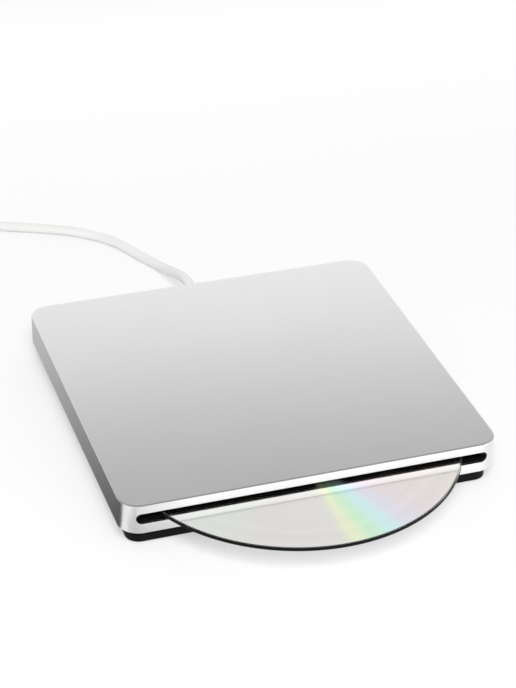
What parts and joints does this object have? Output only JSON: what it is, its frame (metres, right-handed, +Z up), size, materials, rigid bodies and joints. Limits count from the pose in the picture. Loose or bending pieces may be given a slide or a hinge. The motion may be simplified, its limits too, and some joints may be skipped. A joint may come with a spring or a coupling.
{
  "type": "external dvd drive",
  "caption": "Flat square slot-loading external disc drive with a satin metal shell on an inset black base, a half-ejected disc and a captive white cable.",
  "frame": {"origin": "centre of the flat rubber rest face under the base", "axes": "+Z up, -Y out of the front slot, +X to the right when facing the front"},
  "size_m": [0.2242, 0.305, 0.017],
  "materials": {
    "aluminium_shell": "satin blasted",
    "black_plastic": "matt",
    "black_rubber": "matt",
    "black_felt": "felt",
    "sheet_steel": "plain sheet",
    "bright_steel": "bright",
    "motor_can": "satin",
    "gear_plastic": "moulded",
    "brass_parts": "turned",
    "copper_winding": "wound wire",
    "cast_sled": "cast",
    "lens_glass": "clear",
    "amber_film": "film",
    "green_board": "lacquered",
    "chip_black": "matt",
    "can_aluminium": "bright",
    "white_cable": "smooth",
    "contact_block": "smooth",
    "disc_silver": "mirror bright"
  },
  "bodies": {
    "case": {"top_shell": "aluminium_shell", "base_tub": "black_plastic", "slot_bezel": "black_plastic", "disc_guide": "black_plastic", "screw_bearing": "black_plastic", "drive_connector": "black_plastic", "bridge_socket": "black_plastic", "cord_tie": "black_plastic", "base_pad": "black_rubber", "traverse_dampers": "black_rubber", "cover_pads": "black_rubber", "dust_felt_upper": "black_felt", "dust_felt_lower": "black_felt", "drive_chassis": "sheet_steel", "drive_cover": "sheet_steel", "traverse_frame": "sheet_steel", "cover_screws": "bright_steel", "mount_screws": "bright_steel", "gear_axles": "bright_steel", "roller_springs": "bright_steel", "traverse_screws": "bright_steel", "main_rod": "bright_steel", "sub_rod": "bright_steel", "board_screws": "bright_steel", "plug_shell": "bright_steel", "loading_motor": "motor_can", "sled_motor": "motor_can", "flex_connector": "gear_plastic", "spindle_stator": "copper_winding", "pickup_flex": "amber_film", "main_board": "green_board", "bridge_board": "green_board", "spindle_plate": "green_board", "board_chips": "chip_black", "bridge_chips": "chip_black", "board_capacitors": "can_aluminium", "cable_gland": "white_cable", "cable_core": "white_cable", "usb_cord": "white_cable", "cord_coil": "white_cable", "plug_body": "white_cable", "plug_contacts": "contact_block"},
    "disc": {"disc": "disc_silver"},
    "bracket": {"roller_bracket": "sheet_steel", "roller_bushes": "brass_parts"},
    "roller": {"roller_shaft": "bright_steel", "roller_sleeves": "black_rubber", "roller_gear": "gear_plastic"},
    "idler": {"idler_gear": "gear_plastic"},
    "wheel": {"drive_wheel": "gear_plastic"},
    "pinion": {"motor_pinion": "brass_parts"},
    "spindle": {"turntable": "motor_can", "turntable_mat": "black_rubber", "clamp_balls": "bright_steel"},
    "sled": {"pickup_sled": "cast_sled", "sled_nut": "gear_plastic"},
    "lens": {"lens_holder": "black_plastic", "objective_lens": "lens_glass"},
    "screw": {"lead_screw": "bright_steel"}
  },
  "joints": [
    {"name": "disc_slide", "type": "slide", "parent": "case", "child": "disc", "axis": [0, 1, 0], "range_m": [-0.0931, 0.041]},
    {"name": "roller_drop", "type": "hinge", "parent": "case", "child": "bracket", "pos_m": [0, -0.053, 0.00845], "axis": [1, 0, 0], "range_deg": [0, 12.5], "stiffness_Nm_per_rad": 0.01, "springref_deg": -17.19, "deforming": ["roller_springs"]},
    {"name": "roller_spin", "type": "hinge", "parent": "bracket", "child": "roller", "pos_m": [0, -0.0585, 0.00845], "axis": [1, 0, 0], "range_deg": [-945, 2140]},
    {"name": "idler_spin", "type": "hinge", "parent": "case", "child": "idler", "pos_m": [0.0611, -0.0585, 0.01265], "axis": [1, 0, 0], "range_deg": [-2140, 945]},
    {"name": "wheel_spin", "type": "hinge", "parent": "case", "child": "wheel", "pos_m": [0.0611, -0.05318, 0.01171], "axis": [1, 0, 0], "range_deg": [-603, 1363]},
    {"name": "pinion_spin", "type": "hinge", "parent": "case", "child": "pinion", "pos_m": [0.0611, -0.05088, 0.0075], "axis": [1, 0, 0], "range_deg": [-2992, 1320]},
    {"name": "spindle_spin", "type": "hinge", "parent": "case", "child": "spindle", "pos_m": [0, -0.0015, 0.007], "axis": [0, 0, 1], "continuous": true},
    {"name": "pickup_slide", "type": "slide", "parent": "case", "child": "sled", "axis": [0.7071, 0.7071, 0], "range_m": [-0.006, 0.028], "deforming": ["pickup_flex"]},
    {"name": "screw_spin", "type": "hinge", "parent": "case", "child": "screw", "pos_m": [-0.01407, 0.01257, 0.0062], "axis": [0.7071, 0.7071, 0], "range_deg": [-3365, 725]},
    {"name": "lens_focus", "type": "slide", "parent": "sled", "child": "lens", "axis": [0, 0, 1], "range_m": [-0.0004, 0.0004], "stiffness_N_per_m": 30}
  ],
  "couplings": [
    {"joint": "roller_spin", "follows": "disc_slide", "rad_per_m": -400},
    {"joint": "idler_spin", "follows": "disc_slide", "rad_per_m": 400},
    {"joint": "wheel_spin", "follows": "disc_slide", "rad_per_m": -254.55},
    {"joint": "pinion_spin", "follows": "disc_slide", "rad_per_m": 560},
    {"joint": "screw_spin", "follows": "pickup_slide", "rad_per_m": -2094.4}
  ]
}
